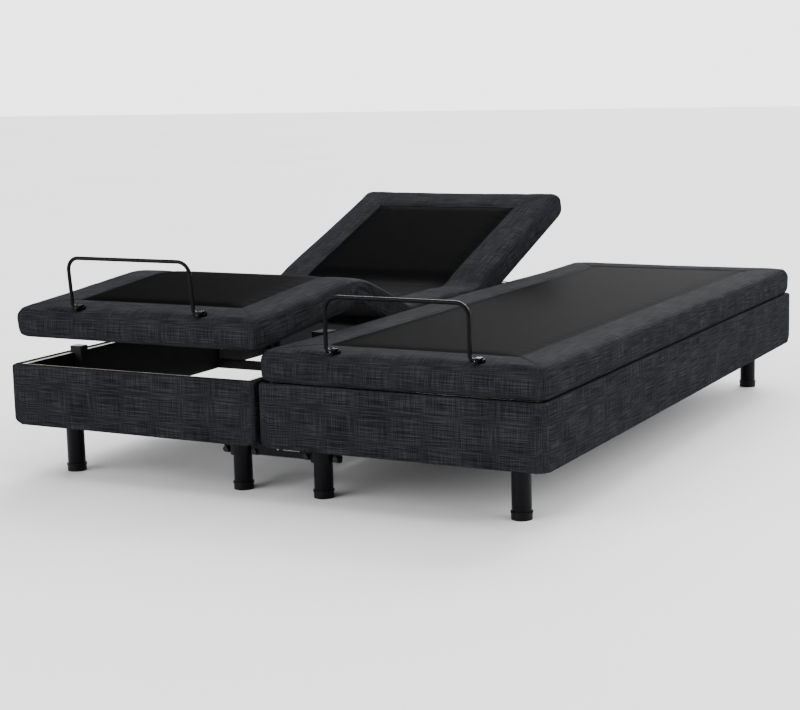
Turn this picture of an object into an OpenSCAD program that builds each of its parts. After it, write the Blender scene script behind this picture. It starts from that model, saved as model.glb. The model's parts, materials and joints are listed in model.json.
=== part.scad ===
// Split adjustable bed base: two upholstered units side by side, joined at the legs.
// Each unit is a box on four legs that carries a deck of four hinged sections, moved by two
// linear drives. The left unit is stored with its head and knees raised, the right unit flat.
// Origin: floor level, midway between the units and halfway along them. +Y is the head end.

/* [Unit] */
// Width of one unit
unit_w = 762; // [660:1:1000]
// Length of one unit
unit_l = 2032; // [1880:1:2450]
// Gap between the two units
unit_gap = 14; // [8:1:40]
// Radius of the upright corners of box and deck
corner_r = 10; // [6:1:40]

/* [Box] */
// Height of the box
rail_h = 162; // [150:1:240]
// Thickness of the box wall with its cover
rail_t = 30; // [24:1:45]
// Thickness of the cover over the box wall
skin_t = 2; // [1:0.5:4]
// Width of the cover where it folds over the wall's edges
skin_fold = 18; // [8:1:22]
// Size of the square block in each corner that takes a leg
block_s = 150; // [120:1:200]
// Thickness of the corner blocks
block_t = 22; // [15:1:40]
// Reach of the cut that eases each lower corner of the box wall
ease_low = 24; // [8:1:26]
// Reach of the cut that eases each upper corner of the box wall
ease_high = 12; // [4:1:20]

/* [Legs] */
// Height of the legs, floor to box
leg_h = 140; // [100:1:300]
// Radius of the leg tube
leg_r = 24; // [16:0.5:35]
// Distance from the box side to a leg's centre
leg_in_x = 112; // [80:1:150]
// Distance from the foot end to a front leg's centre
leg_in_foot = 114; // [80:1:150]
// Distance from the head end to a rear leg's centre
leg_in_head = 98; // [80:1:150]
// Radius of the studs that hold the legs
stud_r = 5; // [4:0.5:8]
// Wall of the plastic glides round the legs
glide_wall = 3; // [2:0.5:8]
// Height of the plastic glides
glide_h = 20; // [12:1:40]

/* [Deck] */
// Clear height between box and deck
deck_gap = 2.5; // [1:0.5:10]
// Thickness of the deck with its cover
deck_t = 75; // [60:1:110]
// Distance the deck stands back from the box faces
deck_inset = 4; // [0:1:15]
// Thickness of the padded skirt round the deck
skirt_t = 8; // [4:1:15]
// Thickness of the section boards
board_t = 18; // [12:1:25]
// Height of the boards' underside above the deck's underside
board_up = 26.5; // [24:0.5:40]
// Length of the foot section, from the unit's end to the knee hinge
foot_l = 545; // [400:1:650]
// Length of the thigh section, knee hinge to thigh hinge
thigh_l = 310; // [260:1:400]
// Length of the fixed seat section, thigh hinge to head hinge
seat_l = 445; // [420:1:560]

/* [Motion] */
// Head section's greatest angle
head_max = 60; // [45:1:70]
// Thigh section's greatest angle
thigh_max = 38; // [25:1:45]
// Knee angle for each degree of thigh angle
knee_ratio = 1.235; // [1:0.005:1.6]
// Head angle of the left unit as stored
left_head = 20; // [0:1:45]
// Thigh angle of the left unit as stored
left_thigh = 22; // [0:1:25]

/* [Hinges and frames] */
// Height of the hinge lines above the deck's underside
pivot_up = 12.5; // [8:0.5:20]
// Width of the steel bars
bar_w = 25; // [18:1:35]
// Height of the moving sections' bars
bar_h = 12; // [8:1:16]
// Thickness of the hinge ears
ear_t = 4; // [3:0.5:6]
// Wall of the hinge ears round their pins
ear_wall = 8; // [5:0.5:9]
// Radius of the hinge pins
pin_r = 6; // [4:0.5:8]
// Radial clearance of pins in their holes
pin_fit = 0.05; // [0.02:0.01:0.1]

/* [Drives] */
// Distance of each drive from the unit's centre line
drive_x = 100; // [90:1:200]
// Depth of the drive axis under the hinge line
drive_d = 110; // [100:1:120]
// Distance from a hinge line to the rear pin of its drive
drive_l = 365; // [350:1:380]
// Radius of the outer tube
tube_r = 17; // [14:0.5:22]
// Radius of the rod
rod_r = 9; // [6:0.5:11]
// Radius of the rod's cross pin
cross_r = 5; // [4:0.5:6]
// Radius of the motor can
motor_r = 27; // [20:0.5:32]
// Thickness of the lever plates
lever_t = 6; // [4:0.5:8]
// Clear width between the lever plates
lever_gap = 24; // [20:0.5:32]
// Half width of the slot in the levers
slot_r = 7.5; // [7:0.1:9]

/* [Retainer bar] */
// Radius of the retainer rod
rod_bar_r = 5; // [4:0.5:9]
// Width of the retainer bar, centre to centre
retainer_w = 382; // [250:1:500]
// Height of the retainer bar above the deck
retainer_h = 137; // [80:1:200]
// Radius of the retainer bar's bends
retainer_bend = 34; // [20:1:60]
// Distance of the retainer bar from the deck's foot edge
retainer_in = 30; // [20:1:80]
// Sideways offset of the retainer bar from the unit's centre
retainer_off = -12; // [-40:1:40]

/* [Leg link] */
// Height of the link clamps
clamp_h = 40; // [30:1:50]
// Radial thickness of the clamp ring
clamp_t = 7; // [5:0.5:12]
// Length of the clamp ears past the ring
clamp_ear = 21; // [18:1:26]
// Distance from the box's underside to the top of the clamps
clamp_drop = 8; // [2:1:30]

/* [Hidden] */
$fn = 48;
eps = 0.01;
LEFT = -1;
RIGHT = 1;
both = [LEFT, RIGHT];

rail_z = leg_h;
rail_top = rail_z + rail_h;
core_top = rail_top - skin_t;
half_in = unit_w / 2 - rail_t;
glide_r = leg_r + glide_wall;
deck_z = rail_top + deck_gap;
deck_top = deck_z + deck_t;
deck_w = unit_w - 2 * deck_inset;
pivot_z = deck_z + pivot_up;
board_z = deck_z + board_up;
board_top = board_z + board_t;
// The ears stay under the boards and clear of the box
ear_r = min(pin_r + ear_wall, board_z - pivot_z, pivot_z - rail_top - 1);

foot_y = -unit_l / 2 + deck_inset;
knee_y = -unit_l / 2 + foot_l;
thigh_y = knee_y + thigh_l;
head_y = thigh_y + seat_l;
end_y = unit_l / 2 - deck_inset;

knee_max = knee_ratio * thigh_max;
fold_slack = 1.5;
joint_slack = 1;
bars_out = min(unit_w / 2 - skin_fold, deck_w / 2 - skirt_t - ear_t - 2);
board_half = deck_w / 2 - skirt_t - 1;

// The lever swings evenly to both sides of plumb, and the rod follows it in a straight line.
function even_rate(span) = 1 + pow(span * PI / 360, 2) / 4 * (1 + span / 400);
head_rate = drive_d * even_rate(head_max) * PI / 180;
leg_rate = drive_d * even_rate(thigh_max) * PI / 180;
function lever_far(span) = drive_d * (cos(span / 2) + even_rate(span) * PI * span / 360 * sin(span / 2));

drive_z = pivot_z - drive_d;
// Distance from the rear pin to the cross pin when the section is flat
head_reach = drive_l - head_rate * head_max / 2;
leg_reach = drive_l - leg_rate * thigh_max / 2;
tube_l = 180;
gearbox = [56, 66, 62];
lug_l = drive_l - 90 - tube_l - gearbox[1];
motor_flange = 22;
motor_l = 108;
bracket_t = 5;
bracket_r = 13;
bracket_x = 14;
cross_z = drive_z - 52;
control = [136, 140, 46];
control_at = 150;
socket = [18, 10, 14];
socket_x = [-40, -14, 12];
strap_t = 6;
frame_bolt_r = 3;
glide_floor = 4;
// Distance from a hinge line to the cross tube that carries the levers
lever_root = ear_r + 3 + bar_w / 2;
lever_round = 18;
bumper_y = unit_l / 2 - 240;
bumper = [26, 30, 66];
screw_r = 5.5;
front_leg_y = -unit_l / 2 + leg_in_foot;
rear_leg_y = unit_l / 2 - leg_in_head;

// ---- Places: each unit, and each moving section at its stored angle ----

function head_rest(side) = side == LEFT ? left_head : 0;
function thigh_rest(side) = side == LEFT ? left_thigh : 0;

module at_unit(side) {
  translate([side * (unit_w + unit_gap) / 2, 0, 0]) children();
}

module turned(y, angle) {
  translate([0, y, pivot_z]) rotate([angle, 0, 0]) translate([0, -y, -pivot_z]) children();
}

module at_head(side) {
  at_unit(side) turned(head_y, head_rest(side)) children();
}

module at_thigh(side) {
  at_unit(side) turned(thigh_y, -thigh_rest(side)) children();
}

module at_foot(side) {
  at_thigh(side) turned(knee_y, knee_ratio * thigh_rest(side)) children();
}

module at_head_rod(side) {
  at_unit(side) translate([0, head_rate * head_rest(side), 0]) children();
}

module at_leg_rod(side) {
  at_unit(side) translate([0, -leg_rate * thigh_rest(side), 0]) children();
}

// ---- Shared shapes ----

module rounded_rect(w, l, r) {
  square([w - 2 * r, l], center = true);
  square([w, l - 2 * r], center = true);
  for (x = both, y = both) translate([x * (w / 2 - r), y * (l / 2 - r)]) circle(r = r);
}

module rounded_box(w, l, r, z0, z1) {
  translate([0, 0, z0]) linear_extrude(z1 - z0) rounded_rect(w, l, r);
}

// A rounded box whose corners are cut slantwise, by a reach from the square corner
module eased_box(w, l, r, z0, z1, low, high) {
  difference() {
    rounded_box(w, l, r, z0, z1);
    for (x = both, y = both) translate([x * w / 2, y * l / 2]) {
      translate([0, 0, z0]) corner_cut(-x, -y, 1, low);
      translate([0, 0, z1]) corner_cut(-x, -y, -1, high);
    }
  }
}

// The tip that a slanting cut takes off a corner at the origin, drawn a little past its faces
module corner_cut(x, y, z, reach) {
  over = 1;
  full = reach + 3 * over;
  scale([x, y, z]) translate([-over, -over, -over])
    polyhedron([[0, 0, 0], [full, 0, 0], [0, full, 0], [0, 0, full]],
               [[0, 1, 2], [0, 2, 3], [0, 3, 1], [1, 3, 2]]);
}

// A block given by its lowest and highest corners
module span(low, high) {
  translate(low) cube(high - low);
}

// A straight round bar along X
module x_bar(r, x0, x1, y, z) {
  translate([x0, y, z]) rotate([0, 90, 0]) cylinder(r = r, h = x1 - x0);
}

// A straight round bar along Y
module y_bar(r, x, y0, y1, z) {
  translate([x, y0, z]) rotate([-90, 0, 0]) cylinder(r = r, h = y1 - y0);
}

// A profile in the Y-Z plane, extruded along X between two places
module x_plate(x0, x1) {
  translate([x0, 0, 0]) rotate([90, 0, 90]) linear_extrude(x1 - x0) children();
}

// Side profile of one deck section. An end that folds up has its top cut back, and an end
// that folds down has its bottom cut back, so that the neighbours meet without touching.
module section_profile(y0, y1, up0, down0, up1, down1) {
  high = deck_top - pivot_z;
  low = pivot_z - deck_z;
  polygon([
    [y0 + low * tan(down0 / 2) + joint_slack, deck_z], [y0 + joint_slack, pivot_z],
    [y0 + high * tan(up0 / 2) + joint_slack, deck_top],
    [y1 - high * tan(up1 / 2) - joint_slack, deck_top],
    [y1 - joint_slack, pivot_z], [y1 - low * tan(down1 / 2) - joint_slack, deck_z]
  ]);
}

// The cover and foam of one section, hollow underneath where its board and bars sit
module section_pad(y0, y1, up0, down0, up1, down1, hollow0, hollow1) {
  color([0.21, 0.22, 0.235]) difference() {
    x_plate(-deck_w / 2, deck_w / 2) section_profile(y0, y1, up0, down0, up1, down1);
    span([-deck_w / 2 + skirt_t, hollow0, deck_z - 1], [deck_w / 2 - skirt_t, hollow1, board_top]);
  }
}

module section_board(y0, y1) {
  color([0.72, 0.58, 0.4]) span([-board_half, y0, board_z], [board_half, y1, board_top]);
}

// How far a board's top corner stands back from a hinge line
function board_back(fold) = (board_top - pivot_z) * tan(fold / 2) + fold_slack + joint_slack;

// Two side bars and a row of cross bars under a moving section
module section_bars(y0, y1, cross) {
  for (side = both) {
    x = side * (bars_out - bar_w / 2);
    span([x - bar_w / 2, y0, board_z - bar_h], [x + bar_w / 2, y1, board_z]);
  }
  for (y = cross)
    span([-bars_out + bar_w, y - bar_w / 2, board_z - bar_h], [bars_out - bar_w, y + bar_w / 2, board_z]);
}

// A hinge ear: a round eye on the hinge line with a tongue to the bar's end.
// way is +1 where the bar lies on the +Y side of the hinge line.
module ear_outline(y, way) {
  difference() {
    union() {
      translate([y, pivot_z]) circle(r = ear_r);
      translate([way > 0 ? y : y - 50, pivot_z]) square([50, board_z - pivot_z]);
    }
    translate([y, pivot_z]) circle(r = pin_r + pin_fit);
  }
}

// Inner ears, for the section that swings about this hinge line
module inner_ears(y, way) {
  for (side = both) {
    x = side * (bars_out - bar_w - ear_t / 2);
    x_plate(x - ear_t / 2, x + ear_t / 2) ear_outline(y, way);
  }
}

// Outer ears, for the section that carries this hinge line
module outer_ears(y, way) {
  for (side = both) {
    x = side * (bars_out + ear_t / 2);
    x_plate(x - ear_t / 2, x + ear_t / 2) ear_outline(y, way);
  }
}

module hinge_pair(y) {
  for (side = both) {
    inner = bars_out - bar_w - ear_t;
    outer = bars_out + ear_t;
    mirror([side > 0 ? 0 : 1, 0, 0]) {
      x_bar(pin_r, inner - 1, outer + 0.5, y, pivot_z);
      x_bar(pin_r + 3, inner - 6, inner - 1, y, pivot_z);
    }
  }
}

// ---- Box, legs and blocks ----

// The box's outer shape, drawn in by a distance on every face
module box_body(inset) {
  grow = (3 - sqrt(3)) * (skin_t - inset);
  eased_box(unit_w - 2 * inset, unit_l - 2 * inset, corner_r - inset, rail_z + inset, rail_top - inset,
            ease_low + grow, ease_high + grow);
}

module rail_core() {
  color([0.86, 0.8, 0.68]) difference() {
    box_body(skin_t);
    span([-half_in, -unit_l / 2 + rail_t, rail_z], [half_in, unit_l / 2 - rail_t, rail_top]);
    frame_bolt_places() x_bar(frame_bolt_r + 0.2, 0, rail_t - 8, 0, 0);
  }
}

module rail_cover() {
  color([0.21, 0.22, 0.235]) difference() {
    box_body(0);
    box_body(skin_t);
    span([-unit_w / 2 + skin_fold, -unit_l / 2 + skin_fold, rail_z - 1],
         [unit_w / 2 - skin_fold, unit_l / 2 - skin_fold, rail_top + 1]);
  }
}

module leg_places() {
  for (side = both) {
    x = side * (unit_w / 2 - leg_in_x);
    for (y = [front_leg_y, rear_leg_y]) translate([x, y, 0]) children();
  }
}

module legs() {
  color([0.04, 0.04, 0.05]) leg_places() {
    translate([0, 0, glide_floor]) cylinder(r = leg_r, h = leg_h - glide_floor);
    translate([0, 0, leg_h - eps]) cylinder(r = stud_r, h = block_t - 3);
  }
}

module corner_blocks() {
  color([0.72, 0.58, 0.4]) for (unit = both) at_unit(unit) difference() {
    for (x = both, y = both) scale([x, y, 1])
      span([half_in - block_s, unit_l / 2 - rail_t - block_s, rail_z],
           [half_in, unit_l / 2 - rail_t, rail_z + block_t]);
    leg_places() translate([0, 0, rail_z - 1]) cylinder(r = stud_r + 0.1, h = block_t + 2);
  }
}

module leg_glides() {
  color([0.05, 0.05, 0.05]) for (unit = both) at_unit(unit) leg_places() difference() {
    union() {
      cylinder(r = glide_r - 1.5, h = glide_h - 4);
      translate([0, 0, glide_h - 4]) cylinder(r = glide_r, h = 4);
    }
    translate([0, 0, glide_floor]) cylinder(r = leg_r + 0.05, h = glide_h);
  }
}

// Rubber rests on the box walls that the moving sections come down on
module bumpers() {
  color([0.06, 0.06, 0.06]) for (unit = both) at_unit(unit)
    for (x = both, y = both) scale([x, y, 1]) {
      top = board_z - bar_h - 0.5;
      span([half_in - bumper[0], bumper_y - bumper[1] / 2, top - bumper[2]],
           [half_in, bumper_y + bumper[1] / 2, top]);
      span([half_in, bumper_y - bumper[1] / 2, core_top],
           [half_in + 10, bumper_y + bumper[1] / 2, top]);
    }
}

// ---- Fixed frame and seat section ----

// The places of the bolts through the cross tubes' straps, opening outwards along +X
module frame_bolt_places() {
  for (x = both, y = [head_y - drive_l, thigh_y + drive_l], z = [cross_z + 50, cross_z + 90])
    mirror([x > 0 ? 0 : 1, 0, 0]) translate([half_in, y, z]) children();
}

module base_frame() {
  color([0.09, 0.09, 0.1]) {
    for (side = both) {
      x = side * (bars_out - bar_w / 2);
      span([x - bar_w / 2, thigh_y + ear_r + 3, core_top], [x + bar_w / 2, head_y - ear_r - 3, board_z]);
    }
    outer_ears(head_y, -1);
    outer_ears(thigh_y, 1);
    difference() {
      for (y = [head_y - drive_l, thigh_y + drive_l]) {
        span([-half_in, y - bar_w / 2, cross_z - bar_w / 2], [half_in, y + bar_w / 2, cross_z + bar_w / 2]);
        for (side = both) {
          x = side * (half_in - strap_t / 2);
          span([x - strap_t / 2, y - bar_w / 2, cross_z - bar_w / 2],
               [x + strap_t / 2, y + bar_w / 2, core_top + eps]);
        }
      }
      frame_bolt_places() x_bar(frame_bolt_r + 0.2, -strap_t - 1, 1, 0, 0);
    }
    rear_brackets(head_y - drive_l, drive_x);
    rear_brackets(thigh_y + drive_l, -drive_x);
  }
}

// Two plates that stand on a cross tube and hold the rear pin of a drive
module rear_brackets(y, x) {
  for (side = both) {
    mid = x + side * bracket_x;
    x_plate(mid - bracket_t / 2, mid + bracket_t / 2) difference() {
      union() {
        translate([y - bracket_r, cross_z + bar_w / 2 - 1])
          square([2 * bracket_r, drive_z - cross_z - bar_w / 2 + 1]);
        translate([y, drive_z]) circle(r = bracket_r);
      }
      translate([y, drive_z]) circle(r = pin_r + pin_fit);
    }
  }
}

module frame_bolts() {
  color([0.7, 0.7, 0.72]) for (unit = both) at_unit(unit) frame_bolt_places() {
    x_bar(frame_bolt_r, -strap_t, rail_t - 9, 0, 0);
    x_bar(frame_bolt_r * 2, -strap_t - 4, -strap_t, 0, 0);
  }
}

module seat_board() {
  section_board(thigh_y + board_back(thigh_max), head_y - board_back(head_max));
}

module seat_pad() {
  section_pad(thigh_y, head_y, thigh_max, 0, head_max, 0, thigh_y - 99, head_y + 99);
}

module hinge_pins() {
  color([0.7, 0.7, 0.72]) for (unit = both) at_unit(unit) {
    hinge_pair(head_y);
    hinge_pair(thigh_y);
    x_bar(pin_r, drive_x - 20, drive_x + 20, head_y - drive_l, drive_z);
    x_bar(pin_r, -drive_x - 20, -drive_x + 20, thigh_y + drive_l, drive_z);
  }
}

// The drives' control box, hung under the seat board, with a row of lead sockets
module control_box() {
  front = thigh_y + control_at;
  socket_z = board_z - control[2] / 2 - 2;
  color([0.08, 0.08, 0.09]) difference() {
    span([-control[0] / 2, front, board_z - control[2]], [control[0] / 2, front + control[1], board_z]);
    for (x = socket_x)
      span([x, front - 10, socket_z - socket[2] / 2],
           [x + socket[0], front + socket[1], socket_z + socket[2] / 2]);
  }
}

// ---- Moving sections ----

// A slotted lever under a section, seen from the side with its hinge line at the origin.
// lean is the angle from plumb at which it stands when the section is flat.
module lever_outline(span, way) {
  lean = span / 2;
  far = lever_far(span);
  tip = far + slot_r + 11 - lever_round;
  difference() {
    union() {
      polygon([
        [way * (lever_root - 11), 12], [way * (lever_root + 11), 12], [way * (lever_root + 11), -9],
        way_point(way, lean, tip, lever_round - 0.5), way_point(way, lean, tip, 0.5 - lever_round),
        [-way * 8, -8]
      ]);
      translate(way_point(way, lean, tip, 0)) circle(r = lever_round);
    }
    rotate(-way * lean) {
      translate([-slot_r, -far]) square([2 * slot_r, far - drive_d]);
      for (along = [drive_d, far]) translate([0, -along]) circle(r = slot_r);
    }
  }
}

// A point at a distance along a lever and a distance across it
function way_point(way, lean, along, across) =
  [way * (-sin(lean) * along + cos(lean) * across), -cos(lean) * along - sin(lean) * across];

module levers(x, y, span, way) {
  for (side = both) {
    mid = x + side * (lever_gap + lever_t) / 2;
    x_plate(mid - lever_t / 2, mid + lever_t / 2) translate([y, pivot_z]) lever_outline(span, way);
  }
  span([-bars_out + bar_w, y + way * lever_root - bar_w / 2, board_z - bar_w],
       [bars_out - bar_w, y + way * lever_root + bar_w / 2, board_z]);
}

module head_frame() {
  first = head_y + ear_r + 3;
  last = end_y - skirt_t - 2;
  color([0.09, 0.09, 0.1]) {
    section_bars(first, last, [(first + last) / 2, last - bar_w / 2]);
    inner_ears(head_y, 1);
    levers(drive_x, head_y, head_max, 1);
  }
}

module head_board() {
  section_board(head_y + board_back(head_max), end_y - skirt_t - 1);
}

module head_pad() {
  section_pad(head_y, end_y + joint_slack, head_max, 0, 0, 0, head_y - 99, end_y - skirt_t);
}

module thigh_frame() {
  first = knee_y + ear_r + 3;
  last = thigh_y - ear_r - 3;
  color([0.09, 0.09, 0.1]) {
    section_bars(first, last, [first + bar_w / 2]);
    inner_ears(thigh_y, -1);
    outer_ears(knee_y, 1);
    levers(-drive_x, thigh_y, thigh_max, -1);
  }
}

module thigh_board() {
  section_board(knee_y + board_back(0), thigh_y - board_back(thigh_max));
}

module thigh_pad() {
  section_pad(knee_y, thigh_y, 0, knee_max, thigh_max, 0, knee_y - 99, thigh_y + 99);
}

module knee_pins() {
  color([0.7, 0.7, 0.72]) hinge_pair(knee_y);
}

module foot_frame() {
  first = foot_y + skirt_t + 2;
  last = knee_y - ear_r - 3;
  color([0.09, 0.09, 0.1]) {
    section_bars(first, last, [first + bar_w / 2, (first + last) / 2, last - bar_w / 2]);
    inner_ears(knee_y, -1);
  }
}

module foot_board() {
  section_board(foot_y + skirt_t + 1, knee_y - board_back(0));
}

module foot_pad() {
  section_pad(foot_y - joint_slack, knee_y, 0, 0, 0, knee_max, foot_y + skirt_t, knee_y + 99);
}

// ---- Drives ----
// A drive is drawn with its rear pin at the origin and its rod pointing along +Y.

module drive_body() {
  color([0.1, 0.1, 0.11]) {
    difference() {
      union() {
        x_bar(12, -11, 11, 0, 0);
        span([-11, 0, -12], [11, lug_l + eps, 12]);
      }
      x_bar(pin_r + pin_fit, -12, 12, 0, 0);
    }
    span([-gearbox[0] / 2, lug_l, -gearbox[2] / 2],
         [gearbox[0] / 2, lug_l + gearbox[1], gearbox[2] / 2]);
    difference() {
      y_bar(tube_r, 0, lug_l + gearbox[1] - eps, lug_l + gearbox[1] + tube_l, 0);
      y_bar(rod_r + 0.5, 0, lug_l + gearbox[1] + 8, lug_l + gearbox[1] + tube_l + 1, 0);
    }
  }
}

// The motor beside the gearbox: its flange, its can and its end cap
module drive_motor() {
  x = gearbox[0] / 2;
  can = lug_l + motor_flange;
  color([0.13, 0.13, 0.14]) {
    span([-x - 2 * motor_r, lug_l, -motor_r], [-x, can, motor_r]);
    y_bar(motor_r, -x - motor_r, can, can + motor_l, 0);
    y_bar(motor_r - 8, -x - motor_r, can + motor_l, can + motor_l + 12, 0);
  }
}

// The rod with its cross pin at a distance from the rear pin
module drive_rod(reach) {
  back = lug_l + gearbox[1] + 14;
  color([0.75, 0.75, 0.77]) {
    y_bar(rod_r, 0, back, reach - 6, 0);
    difference() {
      x_bar(rod_r + 2, -lever_gap / 2 + 1, lever_gap / 2 - 1, reach, 0);
      x_bar(cross_r - 1, -20, 20, reach, 0);
    }
    x_bar(cross_r, -lever_gap / 2 - lever_t - 4, lever_gap / 2 + lever_t + 4, reach, 0);
  }
}

module at_head_drive() {
  translate([drive_x, head_y - drive_l, drive_z]) children();
}

module at_leg_drive() {
  translate([-drive_x, thigh_y + drive_l, drive_z]) rotate([0, 0, 180]) children();
}

// ---- Retainer bar ----

module at_retainer() {
  translate([retainer_off, foot_y + retainer_in, deck_top + rod_bar_r]) children();
}

module bend(start) {
  rotate([90, 0, 0]) rotate([0, 0, start]) rotate_extrude(angle = 90)
    translate([retainer_bend, 0]) circle(r = rod_bar_r);
}

module retainer_bar() {
  top = retainer_h - rod_bar_r;
  foot = 12;
  color([0.03, 0.03, 0.03]) at_retainer() {
    for (side = both) {
      x = side * retainer_w / 2;
      translate([x, 0, foot]) cylinder(r = rod_bar_r, h = top - retainer_bend - foot);
      translate([x + foot, 0, foot]) rotate([90, 0, 0]) rotate([0, 0, 180]) rotate_extrude(angle = 90)
        translate([foot, 0]) circle(r = rod_bar_r);
      x_bar(rod_bar_r, x + foot, x + foot + 26, 0, 0);
    }
    translate([retainer_w / 2 - retainer_bend, 0, top - retainer_bend]) bend(0);
    translate([-retainer_w / 2 + retainer_bend, 0, top - retainer_bend]) bend(90);
    x_bar(rod_bar_r, -retainer_w / 2 + retainer_bend, retainer_w / 2 - retainer_bend, 0, top);
  }
}

// A saddle over each foot of the bar, held down by two round-headed screws
module retainer_clips() {
  color([0.03, 0.03, 0.03]) at_retainer() for (side = both) translate([side * retainer_w / 2 + 24, 0, 0])
    difference() {
      union() {
        span([-7, -rod_bar_r - 4, -rod_bar_r], [7, rod_bar_r + 4, rod_bar_r + 3]);
        span([-7, -rod_bar_r - 18, -rod_bar_r], [7, rod_bar_r + 18, -rod_bar_r + 3]);
        for (y = both) translate([0, y * (rod_bar_r + 11), -rod_bar_r + 3]) cylinder(r = screw_r, h = 4);
      }
      x_bar(rod_bar_r + 0.1, -8, 8, 0, 0);
      span([-8, -rod_bar_r - 0.1, -rod_bar_r - 1], [8, rod_bar_r + 0.1, 0]);
    }
}

// ---- Leg link ----

clamp_top = rail_z - clamp_drop;
clamp_reach = leg_r + clamp_t + clamp_ear;
ear_y = 5;
link_t = 4;
link_hole_r = 4.2;
link_slot_h = 10;

module link_ends() {
  for (y = [front_leg_y, rear_leg_y]) translate([0, y, 0]) children();
}

module link_legs() {
  for (side = both) translate([side * (unit_gap / 2 + leg_in_x), 0, 0]) children();
}

module link_bolt_places() {
  for (x = both, z = [10, clamp_h - 10])
    translate([x * (clamp_reach - 9), 0, clamp_top - clamp_h + z]) children();
}

module link_clamps() {
  ring = leg_r + clamp_t;
  color([0.04, 0.04, 0.045]) link_ends() link_legs() difference() {
    union() {
      translate([0, 0, clamp_top - clamp_h]) cylinder(r = ring, h = clamp_h);
      span([-clamp_reach, -ear_y, clamp_top - clamp_h], [clamp_reach, ear_y, clamp_top]);
    }
    translate([0, 0, clamp_top - clamp_h - 1]) cylinder(r = leg_r + 0.15, h = clamp_h + 2);
    for (x = both) scale([x, 1, 1])
      span([0, -0.75, clamp_top - clamp_h - 1], [clamp_reach + 1, 0.75, clamp_top + 1]);
    link_bolt_places() y_bar(link_hole_r, 0, -20, 20, 0);
  }
}

// A flat bar bolted to the clamps' inner ears, with a square hole and a long adjusting slot
module link_bar() {
  inner = unit_gap / 2 + leg_in_x - clamp_reach;
  z0 = clamp_top - clamp_h + 2;
  slot_z = z0 + 16;
  color([0.04, 0.04, 0.045]) difference() {
    span([-inner - 20, -ear_y - link_t, z0], [inner + 20, -ear_y, clamp_top - 2]);
    span([-14, -20, slot_z], [-4, 0, slot_z + link_slot_h]);
    span([5, -20, slot_z], [inner - 10, 0, slot_z + link_slot_h]);
    link_legs() link_bolt_places() y_bar(link_hole_r, 0, -20, 20, 0);
  }
}

module link_bolts() {
  color([0.1, 0.1, 0.1]) link_ends() for (side = both)
    translate([side * (unit_gap / 2 + leg_in_x), 0, 0]) link_bolt_places() {
      y_bar(4, 0, -ear_y - link_t, ear_y + 7, 0);
      y_bar(7, 0, -ear_y - link_t - 6, -ear_y - link_t, 0);
      translate([0, ear_y, 0]) rotate([-90, 0, 0]) cylinder(r = 7.5, h = 6, $fn = 6);
    }
}

// ---- The nodes ----

at_unit(LEFT) rail_core();  // left_rail_core
at_unit(RIGHT) rail_core();  // right_rail_core
at_unit(LEFT) rail_cover();  // left_rail_cover
at_unit(RIGHT) rail_cover();  // right_rail_cover
at_unit(LEFT) legs();  // left_legs
at_unit(RIGHT) legs();  // right_legs
at_unit(LEFT) base_frame();  // left_base_frame
at_unit(RIGHT) base_frame();  // right_base_frame
at_unit(LEFT) seat_board();  // left_seat_board
at_unit(RIGHT) seat_board();  // right_seat_board
at_unit(LEFT) seat_pad();  // left_seat_pad
at_unit(RIGHT) seat_pad();  // right_seat_pad
at_head(LEFT) head_frame();  // left_head_frame
at_head(RIGHT) head_frame();  // right_head_frame
at_head(LEFT) head_board();  // left_head_board
at_head(RIGHT) head_board();  // right_head_board
at_head(LEFT) head_pad();  // left_head_pad
at_head(RIGHT) head_pad();  // right_head_pad
at_thigh(LEFT) thigh_frame();  // left_thigh_frame
at_thigh(RIGHT) thigh_frame();  // right_thigh_frame
at_thigh(LEFT) thigh_board();  // left_thigh_board
at_thigh(RIGHT) thigh_board();  // right_thigh_board
at_thigh(LEFT) thigh_pad();  // left_thigh_pad
at_thigh(RIGHT) thigh_pad();  // right_thigh_pad
at_foot(LEFT) foot_frame();  // left_foot_frame
at_foot(RIGHT) foot_frame();  // right_foot_frame
at_foot(LEFT) foot_board();  // left_foot_board
at_foot(RIGHT) foot_board();  // right_foot_board
at_foot(LEFT) foot_pad();  // left_foot_pad
at_foot(RIGHT) foot_pad();  // right_foot_pad
at_thigh(LEFT) knee_pins();  // left_knee_pins
at_thigh(RIGHT) knee_pins();  // right_knee_pins
at_unit(LEFT) at_head_drive() drive_body();  // left_head_drive
at_unit(RIGHT) at_head_drive() drive_body();  // right_head_drive
at_unit(LEFT) at_head_drive() drive_motor();  // left_head_motor
at_unit(RIGHT) at_head_drive() drive_motor();  // right_head_motor
at_head_rod(LEFT) at_head_drive() drive_rod(head_reach);  // left_head_rod
at_head_rod(RIGHT) at_head_drive() drive_rod(head_reach);  // right_head_rod
at_unit(LEFT) at_leg_drive() drive_body();  // left_leg_drive
at_unit(RIGHT) at_leg_drive() drive_body();  // right_leg_drive
at_unit(LEFT) at_leg_drive() drive_motor();  // left_leg_motor
at_unit(RIGHT) at_leg_drive() drive_motor();  // right_leg_motor
at_leg_rod(LEFT) at_leg_drive() drive_rod(leg_reach);  // left_leg_rod
at_leg_rod(RIGHT) at_leg_drive() drive_rod(leg_reach);  // right_leg_rod
at_unit(LEFT) control_box();  // left_control_box
at_unit(RIGHT) control_box();  // right_control_box
at_foot(LEFT) retainer_bar();  // left_retainer_bar
at_foot(RIGHT) retainer_bar();  // right_retainer_bar
at_foot(LEFT) retainer_clips();  // left_retainer_clips
at_foot(RIGHT) retainer_clips();  // right_retainer_clips
corner_blocks();
leg_glides();
bumpers();
hinge_pins();
frame_bolts();
link_clamps();
translate([0, front_leg_y, 0]) link_bar();  // front_link_bar
translate([0, rear_leg_y, 0]) link_bar();  // rear_link_bar
link_bolts();
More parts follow.
